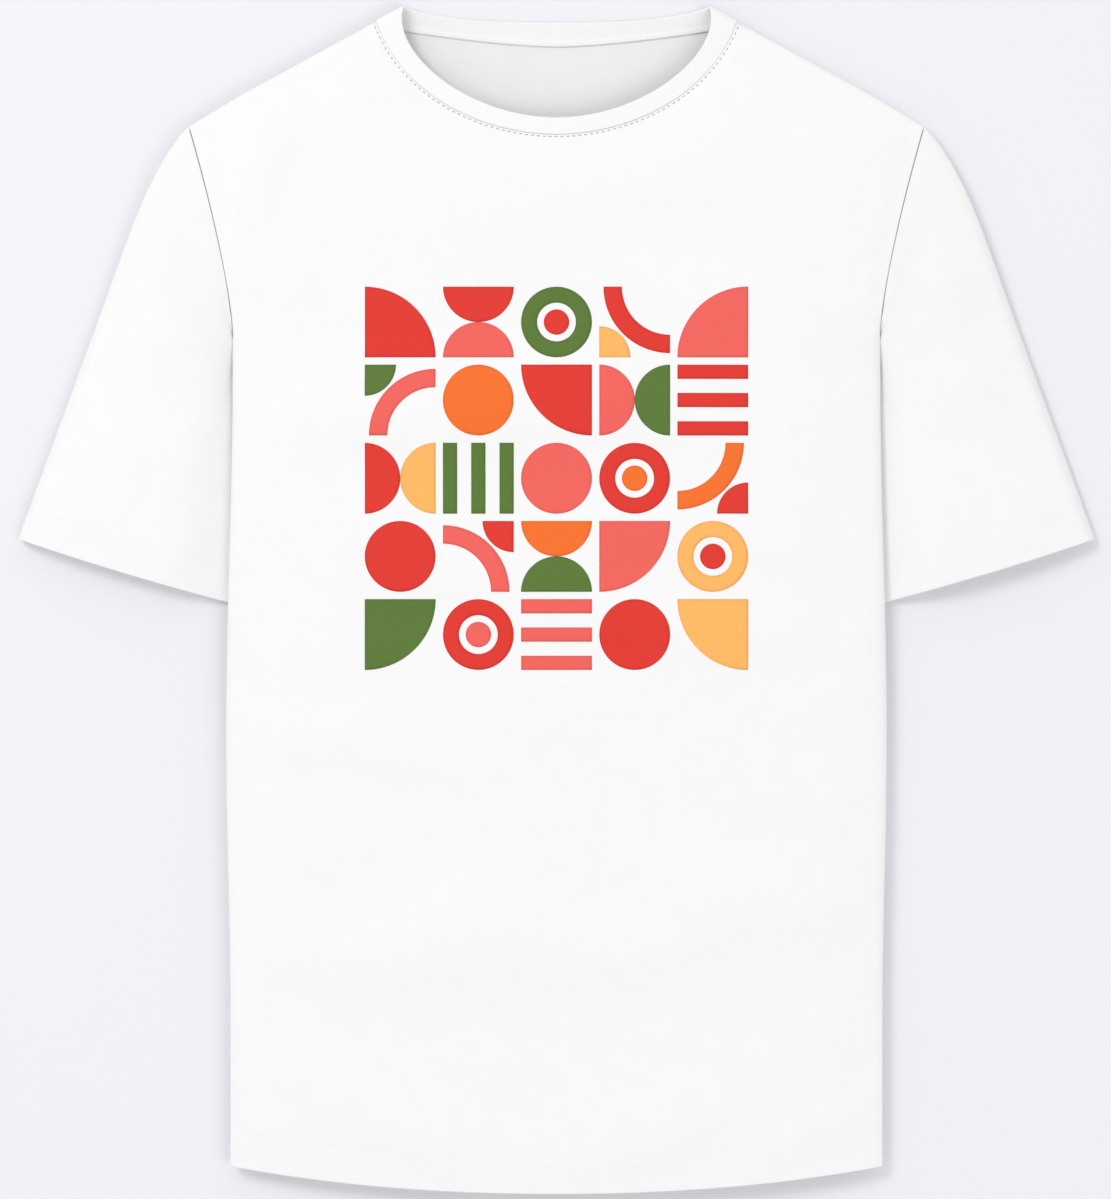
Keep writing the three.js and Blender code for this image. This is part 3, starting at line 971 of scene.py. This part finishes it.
left_sleeve = sleeve_object("left_sleeve_cloth", 1)
right_sleeve = sleeve_object("right_sleeve_cloth", -1)

# ---- the neckband -----------------------------------------------------------

RIB_LAYER = 0.85  # the band is a strip of rib, folded lengthwise
RIB_PITCH = 2.1
RIB_DEPTH = 0.2
POINTS_A_RIB = 4
RIBS_START = (0.02, 0.14)  # across the band, where they deepen from nothing

# The strip's profile: how far across the band, in its widths from the seam,
# and how far over or under its middle. It starts in the seam, goes over the
# free edge and comes back beneath as the seam allowance.
BAND_OUTER = [
    (0.045, -0.32), (0.048, -0.05), (0.062, 0.17), (0.1, 0.34), (0.16, 0.44),
    (0.24, 0.48), (0.38, 0.48), (0.52, 0.48), (0.66, 0.48), (0.8, 0.48), (0.9, 0.48),
]  # fmt: skip
BAND_INNER = [
    (0.9, -0.48), (0.8, -0.48), (0.66, -0.48), (0.52, -0.48), (0.38, -0.48),
    (0.24, -0.48), (0.14, -0.56), (0.07, -0.8), (0.0, -1.15), (-0.07, -1.42),
    (-0.13, -1.5), (-0.2, -1.5),
]  # fmt: skip
BAND_TURN = 0.043  # the free edge's round
ALLOWANCE_UNDER_BACK = -0.52  # the lowest that the profile goes, where it lies flat


def band_places(u, v):
    """The middle of the neckband: u round the neck, v from its seam to its edge."""
    angle = 2 * math.pi * u
    t = 1 - np.abs(np.cos(angle))
    side = np.where(np.cos(angle) >= 0, -1, 1)
    is_front = np.sin(angle) >= 0
    front_place = mix(front_neck_seam(t), front_rib_edge(t), v)
    back_place = mix(back_neck_seam(t), back_rib_edge(t), v)
    place = np.where(is_front[..., None], front_place, back_place)
    across, down = place[..., 0], place[..., 1]
    lower = back_height(across, down, 2 * RIB_LAYER)
    height = np.where(is_front, front_height(across, down), lower)
    return stack(across * side, down, height)


def evenly_round(count):
    """Values of u that are evenly spaced along the middle of the band."""
    u = np.linspace(0, 1, 4001)
    run = run_along(band_places(u, np.full_like(u, 0.5)))
    return np.interp(np.linspace(0, run[-1], count + 1), run, u), run[-1]


def neckband():
    _, length = evenly_round(8)
    ribs = round(length / RIB_PITCH)
    u, _ = evenly_round(ribs * POINTS_A_RIB)
    over_edge = BAND_OUTER[-1][1]
    turn = [
        (1 - BAND_TURN + BAND_TURN * math.sin(a), over_edge * math.cos(a))
        for a in np.linspace(0, math.pi, 8)
    ]
    v, over = np.array(BAND_OUTER + turn + BAND_INNER).T
    uu, vv = np.meshgrid(u, v)
    middle = band_places(uu, vv)
    # One normal, from near the band's middle, serves the whole profile.
    out = closed_normals(band_places(*np.meshgrid(u, np.linspace(-0.25, 1, 9))))[4]
    # The back lies flat, and there the allowance has less to go beneath.
    lying = np.clip((FOLD - middle[..., 2]) / (FOLD - RIB_LAYER), 0, 1)
    over = over[:, None]
    over = lerp(over, np.maximum(over, ALLOWANCE_UNDER_BACK), lying)
    grid = middle + out * over[..., None]

    valley = 0.5 - 0.5 * np.cos(2 * math.pi * np.arange(len(u)) / POINTS_A_RIB)
    depth = RIB_DEPTH * valley * smoothstep(*RIBS_START, vv)
    grid = grid - closed_normals(grid) * depth[..., None] / 2
    thickness = (RIB_LAYER - depth)[:, :-1]
    return sheet_object("neckband_rib", grid, both_lengths(grid), thickness, closed=True)


band = neckband()

# ---- the print --------------------------------------------------------------
# Plain shapes of ink on square tiles, five by five, on the chest.

TILE = 43.0
TILE_PITCH = 47.5
PRINT_MIDDLE = (0.0, 74.0)
INK_STEP = 2.5
INK = 0.2  # the film's thickness, partly within the cloth
INK_OVER = 0.08

# Each tile's shapes, as shape, quarter turns, colour.
TILES = [
    ["fan 0 red", "half 0 coral, half 2 red", "ring 0 green, dot 0 red",
     "arc 2 red, quarter 0 amber", "fan 1 coral"],
    ["arc 1 coral, quarter 3 green", "disc 0 orange", "fan 2 red",
     "half 1 green, half 3 coral", "bars 0 red"],
    ["half 3 red, half 1 amber", "bars 1 green", "disc 0 coral",
     "ring 0 red, dot 0 orange", "arc 3 orange, quarter 1 red"],
    ["disc 0 red", "arc 0 coral, quarter 2 red", "half 2 orange, half 0 green",
     "fan 3 coral", "ring 0 amber, dot 0 red"],
    ["fan 3 green", "ring 0 red, dot 0 coral", "bars 0 coral",
     "disc 0 red", "fan 2 amber"],
]  # fmt: skip


def laid_on(cloth, x, y, over):
    """Points that lie over the uppermost cloth at each x, y, in millimetres."""
    points = np.empty(x.shape + (3,))
    for i in np.ndindex(x.shape):
        start = Vector((x[i] * MM, y[i] * MM, 0.1))
        hit, normal, _, _ = cloth.ray_cast(start, Vector((0, 0, -1)))
        points[i] = np.array(hit) / MM + np.array(normal) * over
    return points


def counted(length):
    return max(3, int(math.ceil(length / INK_STEP)) + 1)


def part_of_disc(radius, a_from, b_from, centre):
    """A disc, half or quarter, as a grid bent to a round edge."""
    a = np.linspace(a_from, 1, counted(radius * (1 - a_from)))
    b = np.linspace(b_from, 1, counted(radius * (1 - b_from)))
    a, b = np.meshgrid(a, b)
    x = a * np.sqrt(1 - b * b / 2)
    y = b * np.sqrt(1 - a * a / 2)
    return centre[0] + radius * x, centre[1] + radius * y


def part_of_ring(inner, outer, turn, centre):
    """A ring, or the part of one that turns through an angle."""
    angle = np.linspace(0, turn, counted(outer * turn))
    angle, radius = np.meshgrid(angle, np.linspace(outer, inner, counted(outer - inner)))
    return centre[0] + radius * np.cos(angle), centre[1] + radius * np.sin(angle)


def bars():
    height = TILE / 5
    for middle in (-2 * height, 0, 2 * height):
        x = np.linspace(-TILE / 2, TILE / 2, counted(TILE))
        y = np.linspace(middle - height / 2, middle + height / 2, counted(height))
        yield *np.meshgrid(x, y), False


def shape_grids(shape):
    """A tile's shape as grids of x and y, and whether each closes on itself."""
    half, corner = TILE / 2, (-TILE / 2, -TILE / 2)
    discs = {
        "disc": (half, -1, -1, (0, 0)),
        "dot": (half * 0.36, -1, -1, (0, 0)),
        "half": (half, -1, 0, (0, -half)),
        "quarter": (TILE * 0.44, 0, 0, corner),
        "fan": (TILE, 0, 0, corner),
    }
    if shape in discs:
        yield *part_of_disc(*discs[shape]), False
    elif shape == "arc":
        yield *part_of_ring(TILE * 0.68, TILE * 0.94, math.pi / 2, corner), False
    elif shape == "ring":
        yield *part_of_ring(half * 0.55, half, 2 * math.pi, (0, 0)), True
    else:
        yield from bars()


def ink_films(piece):
    """One closed film of ink on the piece for each colour."""
    mesh = piece.data
    corners = [vertex.co.copy() for vertex in mesh.vertices]
    cloth = BVHTree.FromPolygons(corners, [list(face.vertices) for face in mesh.polygons])
    films = {}
    for row, column in np.ndindex(len(TILES), len(TILES[0])):
        centre_x = PRINT_MIDDLE[0] + (column - 2) * TILE_PITCH
        centre_y = PRINT_MIDDLE[1] + (2 - row) * TILE_PITCH
        for words in TILES[row][column].split(", "):
            shape, turns, colour = words.split()
            angle = int(turns) * math.pi / 2
            film = films.setdefault(colour, Solid())
            for x, y, closed in shape_grids(shape):
                across = centre_x + x * math.cos(angle) - y * math.sin(angle)
                along = centre_y + x * math.sin(angle) + y * math.cos(angle)
                grid = laid_on(cloth, across, along, INK_OVER)
                film.add_sheet(grid, INK, grid[..., :2], closed)
    return {colour: film.make(f"ink_{colour}") for colour, film in films.items()}


inks = ink_films(front)

# ---- stitches ---------------------------------------------------------------

THREAD = 0.6  # its thickness
THREAD_FLATTENED = 0.8
STITCH_PITCH = 3.6
STITCH_LENGTH = 2.5
STITCH_PROUD = 0.12  # its middle, over the cloth
STITCH_DIP = 0.35  # from there down to its ends
STITCH_RINGS = 6
STITCH_SIDES = 8
STITCH_ROW = 1.35  # from the neck seam
STITCH_ROW_SHARE = 0.9  # of the way round to the shoulders


def stitch(line, outward, run, start):
    """A short rod of thread, ring by ring, whose ends go down into the cloth."""
    at = np.linspace(start, start + STITCH_LENGTH, STITCH_RINGS)
    spine = np.stack([np.interp(at, run, line[:, i]) for i in range(3)], -1)
    up = unit(np.stack([np.interp(at, run, outward[:, i]) for i in range(3)], -1))
    sideways = unit(np.cross(unit(np.gradient(spine, axis=0)), up))
    share = np.linspace(-1, 1, STITCH_RINGS)
    radius = THREAD / 2 * np.sqrt(np.clip(1.02 - np.abs(share) ** 5, 0.05, 1))
    angle = 2 * math.pi * np.arange(STITCH_SIDES) / STITCH_SIDES
    high = radius[:, None] * THREAD_FLATTENED * np.sin(angle)
    high = high + (STITCH_PROUD - STITCH_DIP * share**4)[:, None]
    wide = radius[:, None] * np.cos(angle)
    return spine[:, None] + up[:, None] * high[..., None] + sideways[:, None] * wide[..., None]


def stitches(name, lines):
    """Stitches laid along lines of points with their outward normals."""
    points, faces = [], []
    for line, outward in lines:
        run = run_along(line)
        for k in range(int(run[-1] / STITCH_PITCH)):
            start = (k + 0.5) * STITCH_PITCH - STITCH_LENGTH / 2
            index = len(points) + np.arange(STITCH_RINGS * STITCH_SIDES)
            index = index.reshape(STITCH_RINGS, STITCH_SIDES)
            points.extend(stitch(line, outward, run, start).reshape(-1, 3))
            faces += corners_of(closed_grid(index)).reshape(-1, 4).tolist()
            faces += [index[0, ::-1].tolist(), index[-1].tolist()]
    return mesh_object(name, np.array(points), faces)


def neck_stitch_lines():
    """Just outside the neck seam, on the front and round the back."""
    lines = []
    for neck_seam, height_of, facing, over in (
        (front_neck_seam, front_height, 1, JERSEY / 2),
        (back_neck_seam, back_height, -1, 0.05),
    ):
        angle = np.linspace(-STITCH_ROW_SHARE, STITCH_ROW_SHARE, 600) * math.pi / 2
        seam = neck_seam(1 - np.sin(np.abs(angle)))
        seam[:, 0] *= np.sign(angle)
        along = unit(np.gradient(seam, axis=0))
        away = np.stack([-along[:, 1], along[:, 0]], -1)
        # The two rows farther out are there for the cloth's normals.
        from_seam = np.array([4.2, 2.3, STITCH_ROW])
        across, down = np.moveaxis(seam + away * from_seam[:, None, None], -1, 0)
        grid = stack(across * facing, down, height_of(across, down))
        out = normals(grid)
        lines.append((grid[-1] + out[-1] * over, out[-1]))
    return lines


SEAM_THREAD_RADIUS = 0.34  # to the middle of its wall
SEAM_THREAD_WALL = 0.12
SEAM_THREAD_SIDES = 10
SEAM_THREAD_SUNK = 0.1  # into the seam
ARMPIT_LIFT = 0.35  # and out of it again, near the armpit
ARMPIT_NEAR = 40.0
THREAD_TAIL = 11.0  # past the armpit
TAIL_IN = 1.6
TAIL_DROP = 1.8


def seam_shade_thread(name):
    """The thread that shows in the armholes' seams, back and front, in a dark grey that is
    painted shade for the seam's groove.

    Past the armpit it goes down beneath the body's side.
    """
    solid = Solid()
    tail = THREAD_TAIL / (HEM_CORNER[1] - SHOULDER_POINT[1])
    seam_across, down = panel_side(np.linspace(ARMPIT_V - tail, 1, 180)).T
    past = np.clip((down - ARMPIT[1]) / THREAD_TAIL, 0, 1)
    near = smoothstep(ARMPIT[1] - ARMPIT_NEAR, ARMPIT[1], down)
    across = seam_across + LEDGE / 2 * near**4 - TAIL_IN * past**2
    over = ARMPIT_LIFT * near - SEAM_THREAD_SUNK
    for side in (1, -1):
        for height_of, out in ((front_height, 1), (back_height, -1)):
            height = height_of(across, down) + out * over - TAIL_DROP * past
            line = stack(across * side, down, height)[:-3]
            forward = unit(np.gradient(line, axis=0))
            sideways = unit(np.cross(forward, np.broadcast_to([0, 0, 1.0], line.shape)))
            upward = -np.cross(forward, sideways)
            ring = []
            for a in 2 * math.pi * np.arange(SEAM_THREAD_SIDES + 1) / SEAM_THREAD_SIDES:
                away = sideways * math.cos(a) + upward * math.sin(a)
                ring.append(line + SEAM_THREAD_RADIUS * away)
            grid = np.stack(ring, axis=1)
            solid.add_sheet(grid, SEAM_THREAD_WALL, grid[..., :2], closed=True)
    return solid.make(name)


armhole_shade_thread = seam_shade_thread("armhole_shade_thread")
neck_stitches = stitches("neck_stitches", neck_stitch_lines())

# ---- materials --------------------------------------------------------------

WALE = 0.00076  # the jersey's loops, in metres, as the materials' sizes are
COURSE = 0.0006
RIB_WALE = 0.00105
RIB_COURSE = 0.00062


class Nodes:
    """Short names for making and joining a material's nodes."""

    def __init__(self, name):
        self.material = bpy.data.materials.new(name)
        self.material.use_nodes = True
        self.tree = self.material.node_tree
        self.shader = self.tree.nodes["Principled BSDF"]

    def node(self, kind, inputs=(), **settings):
        """A new node, with its inputs set to a value or joined to an output."""
        node = self.tree.nodes.new(kind)
        for key, value in settings.items():
            setattr(node, key, value)
        self.feed(node, dict(inputs))
        return node

    def feed(self, node, inputs):
        for key, value in inputs.items():
            if isinstance(value, bpy.types.NodeSocket):
                self.tree.links.new(value, node.inputs[key])
            else:
                node.inputs[key].default_value = value

    def math(self, operation, *values, clamp=False):
        inputs = enumerate(values)
        node = self.node("ShaderNodeMath", inputs, operation=operation, use_clamp=clamp)
        return node.outputs[0]

    def noise(self, vector, scale, detail=2.0, roughness=0.5):
        inputs = {"Vector": vector, "Scale": scale, "Detail": detail, "Roughness": roughness}
        return self.node("ShaderNodeTexNoise", inputs).outputs["Fac"]

    def blend(self, share, dark, light):
        inputs = {"Fac": share, "Color1": (*dark, 1), "Color2": (*light, 1)}
        return self.node("ShaderNodeMixRGB", inputs).outputs["Color"]

    def bump(self, height, strength, distance):
        inputs = {"Height": height, "Strength": strength, "Distance": distance}
        return self.node("ShaderNodeBump", inputs).outputs["Normal"]

    def finish(self, **shader_inputs):
        """The material, given its shader's inputs with _ for each space."""
        inputs = {key.replace("_", " "): value for key, value in shader_inputs.items()}
        self.feed(self.shader, inputs)
        return self.material


def knit_height(n, wale, course, purl=False):
    """The cloth's own coordinates, and the height of a knit's loops over them."""
    uv = n.node("ShaderNodeUVMap", uv_map="cloth").outputs["UV"]
    parts = n.node("ShaderNodeSeparateXYZ", {0: uv}).outputs
    across = n.math("DIVIDE", parts["X"], wale)
    along = n.math("DIVIDE", parts["Y"], course)
    share = n.math("ABSOLUTE", n.math("SUBTRACT", n.math("FRACT", across), 0.5))
    if purl:
        wave = n.math("SINE", n.math("MULTIPLY", across, 2 * math.pi))
        slant = n.math("MULTIPLY", wave, 0.18)
    else:
        slant = n.math("MULTIPLY", share, -1.1)
    loops = n.math("SINE", n.math("MULTIPLY", n.math("ADD", along, slant), 2 * math.pi))
    height = n.math("MULTIPLY_ADD", loops, 0.3, 0.5)
    if purl:
        return uv, height
    # A wale is highest along the middle of each leg of its V.
    ridge = n.math("SINE", n.math("MULTIPLY", share, math.pi))
    leg = n.math("SINE", n.math("MULTIPLY", ridge, math.pi))
    return uv, n.math("MULTIPLY", height, n.math("ADD", leg, 0.35))


def roughened(n, height, texture, share):
    return n.math("ADD", height, n.math("MULTIPLY", texture, share))


def knit_material(name, color, wale=WALE, course=COURSE, purl=False):
    n = Nodes(name)
    uv, height = knit_height(n, wale, course, purl)
    yarn = n.node("ShaderNodeMapping", {"Vector": uv, "Scale": (1100, 140, 1)})
    slub = n.noise(yarn.outputs["Vector"], 1.0, 3.0, 0.6)
    fuzz = n.noise(uv, 5200, 2.0, 0.7)
    mottle = n.noise(uv, 60, 3.0, 0.6)
    height = roughened(n, roughened(n, height, slub, 0.55), fuzz, 0.3)
    tone = n.math("MULTIPLY", n.math("ADD", slub, mottle), 0.8, clamp=True)
    return n.finish(
        Base_Color=n.blend(tone, [c * 0.955 for c in color], color),
        Normal=n.bump(height, 0.55, 0.00012),
        Roughness=0.92,
        Specular_IOR_Level=0.25,
        Sheen_Weight=0.12,
        Sheen_Roughness=0.45,
    )


def ink_material(name, color):
    """Matte ink that has sunk into the knit."""
    n = Nodes(name)
    uv, height = knit_height(n, WALE, COURSE)
    wear = n.noise(uv, 420, 4.0, 0.65)
    tone = n.math("MULTIPLY", wear, 1.6, clamp=True)
    return n.finish(
        Base_Color=n.blend(tone, [c * 0.9 for c in color], color),
        Normal=n.bump(roughened(n, height, wear, 0.6), 0.3, 0.00008),
        Roughness=0.7,
        Specular_IOR_Level=0.3,
    )


def thread_material(name, tone):
    n = Nodes(name)
    place = n.node("ShaderNodeTexCoord").outputs["Object"]
    twist = {"Vector": place, "Scale": 900, "Distortion": 0.4}
    strand = n.node("ShaderNodeTexWave", twist, bands_direction="DIAGONAL").outputs["Fac"]
    return n.finish(
        Base_Color=n.blend(strand, [tone * 0.8] * 3, [tone] * 3),
        Normal=n.bump(strand, 0.5, 0.00008),
        Roughness=0.55,
        Sheen_Weight=0.2,
    )


def floor_material():
    n = Nodes("floor")
    place = n.node("ShaderNodeTexCoord").outputs["Object"]
    tone = n.blend(n.noise(place, 3.0), (0.788, 0.795, 0.828), (0.8, 0.807, 0.84))
    return n.finish(Base_Color=tone, Roughness=0.9)


def linear(color):
    """Linear values of a colour as it is seen on a screen."""
    return [c / 12.92 if c <= 0.04045 else ((c + 0.055) / 1.055) ** 2.4 for c in color]


INK_COLOURS = {
    "red": (0.86, 0.2, 0.16),
    "coral": (0.92, 0.38, 0.35),
    "orange": (0.94, 0.43, 0.14),
    "amber": (0.98, 0.7, 0.37),
    "green": (0.34, 0.46, 0.19),
}
WHITE = (0.885, 0.885, 0.885)
# The inner faces' grey is painted shade. Inside the shirt the same white jersey lies in
# shadow, and this grey stands for that shadow. Their purl knit is real.
SHADE_GREY = (0.8, 0.8, 0.8)
jersey_face = knit_material("jersey_face", WHITE)
jersey_reverse_shade = knit_material("jersey_reverse_shade", SHADE_GREY, purl=True)
rib_face = knit_material("rib_face", WHITE, RIB_WALE, RIB_COURSE)


def dress(piece, outside, inside=None):
    """Gives a piece the materials of its outer and its inner faces."""
    for material in (outside, inside or outside):
        piece.data.materials.append(material)


# Inner faces take the grey of painted shade.
for panel in (front, back, left_sleeve, right_sleeve):
    dress(panel, jersey_face, jersey_reverse_shade)
dress(band, rib_face)
dress(neck_stitches, thread_material("neck_thread", 0.46))
# The armhole thread's dark grey is painted shade. It is darker than the cloth so that it
# stands for the shade in the seam's groove.
dress(armhole_shade_thread, thread_material("seam_shade_thread", 0.3))
for colour, film in inks.items():
    dress(film, ink_material(f"ink_{colour}", linear(INK_COLOURS[colour])))

# ---- the frame --------------------------------------------------------------

for piece, node, slot in (
    (front, "front_panel", "jersey"),
    (back, "back_panel", "jersey"),
    (left_sleeve, "left_sleeve", "jersey"),
    (right_sleeve, "right_sleeve", "jersey"),
    (band, "neckband", "rib"),
):
    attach(piece, "root")
    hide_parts(node)
for sewn in (neck_stitches, armhole_shade_thread):
    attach(sewn, "root")
for colour, film in inks.items():
    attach(film, "root")

# ---- floor, light and camera ------------------------------------------------

IMAGE_WIDTH, IMAGE_HEIGHT = 1111, 1199
MM_A_PIXEL = 0.61
CENTRE_PIXEL_X = 556.5  # where the shirt's centre line stands in the image
CENTRE_PIXEL_Y = 600.0  # and the middle of its length
FLOOR_DOWN = 0.0003  # in metres, as the floor's size and the lights' places are


def add_camera():
    camera = bpy.data.cameras.new("camera")
    camera.sensor_width = 36.0  # along the image's longer side, its height
    camera.lens = 160.0
    camera.clip_end = 50.0
    view_height = IMAGE_HEIGHT * MM_A_PIXEL * MM
    distance = view_height * camera.lens / camera.sensor_width
    obj = placed("camera", camera)
    obj.location = (
        (IMAGE_WIDTH / 2 - CENTRE_PIXEL_X) * MM_A_PIXEL * MM,
        (CENTRE_PIXEL_Y - IMAGE_HEIGHT / 2) * MM_A_PIXEL * MM,
        distance + FOLD * MM,
    )
    bpy.context.scene.camera = obj


def add_area(name, location, size, power):
    light = bpy.data.lights.new(name, "AREA")
    light.shape = "DISK"
    light.size = size
    light.energy = power
    obj = placed(name, light)
    obj.location = location
    obj.rotation_euler = (-Vector(location)).to_track_quat("-Z", "Y").to_euler()


def add_floor(half):
    corners = [(-half, -half, 0), (half, -half, 0), (half, half, 0), (-half, half, 0)]
    floor = mesh_object("floor", np.array(corners) / MM, [[0, 1, 2, 3]])
    floor.location.z = -FLOOR_DOWN
    dress(floor, floor_material())
    floor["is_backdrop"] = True


def add_world(strength):
    world = bpy.data.worlds.new("studio")
    world.use_nodes = True
    background = world.node_tree.nodes["Background"].inputs
    background["Color"].default_value = (1, 1, 1, 1)
    background["Strength"].default_value = strength
    bpy.context.scene.world = world


add_camera()
add_floor(half=15.0)
add_area("key", (-2.2, 2.0, 3.4), size=1.8, power=60)
add_area("fill", (2.4, -1.6, 3.6), size=3.0, power=30)
add_world(strength=0.8)
bpy.context.scene.view_settings.view_transform = "Standard"

VISUAL_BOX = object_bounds()
boxes = {"cad": CAD_BOX, "visual": VISUAL_BOX}
{key: [list(corner) for corner in box] for key, box in boxes.items()}
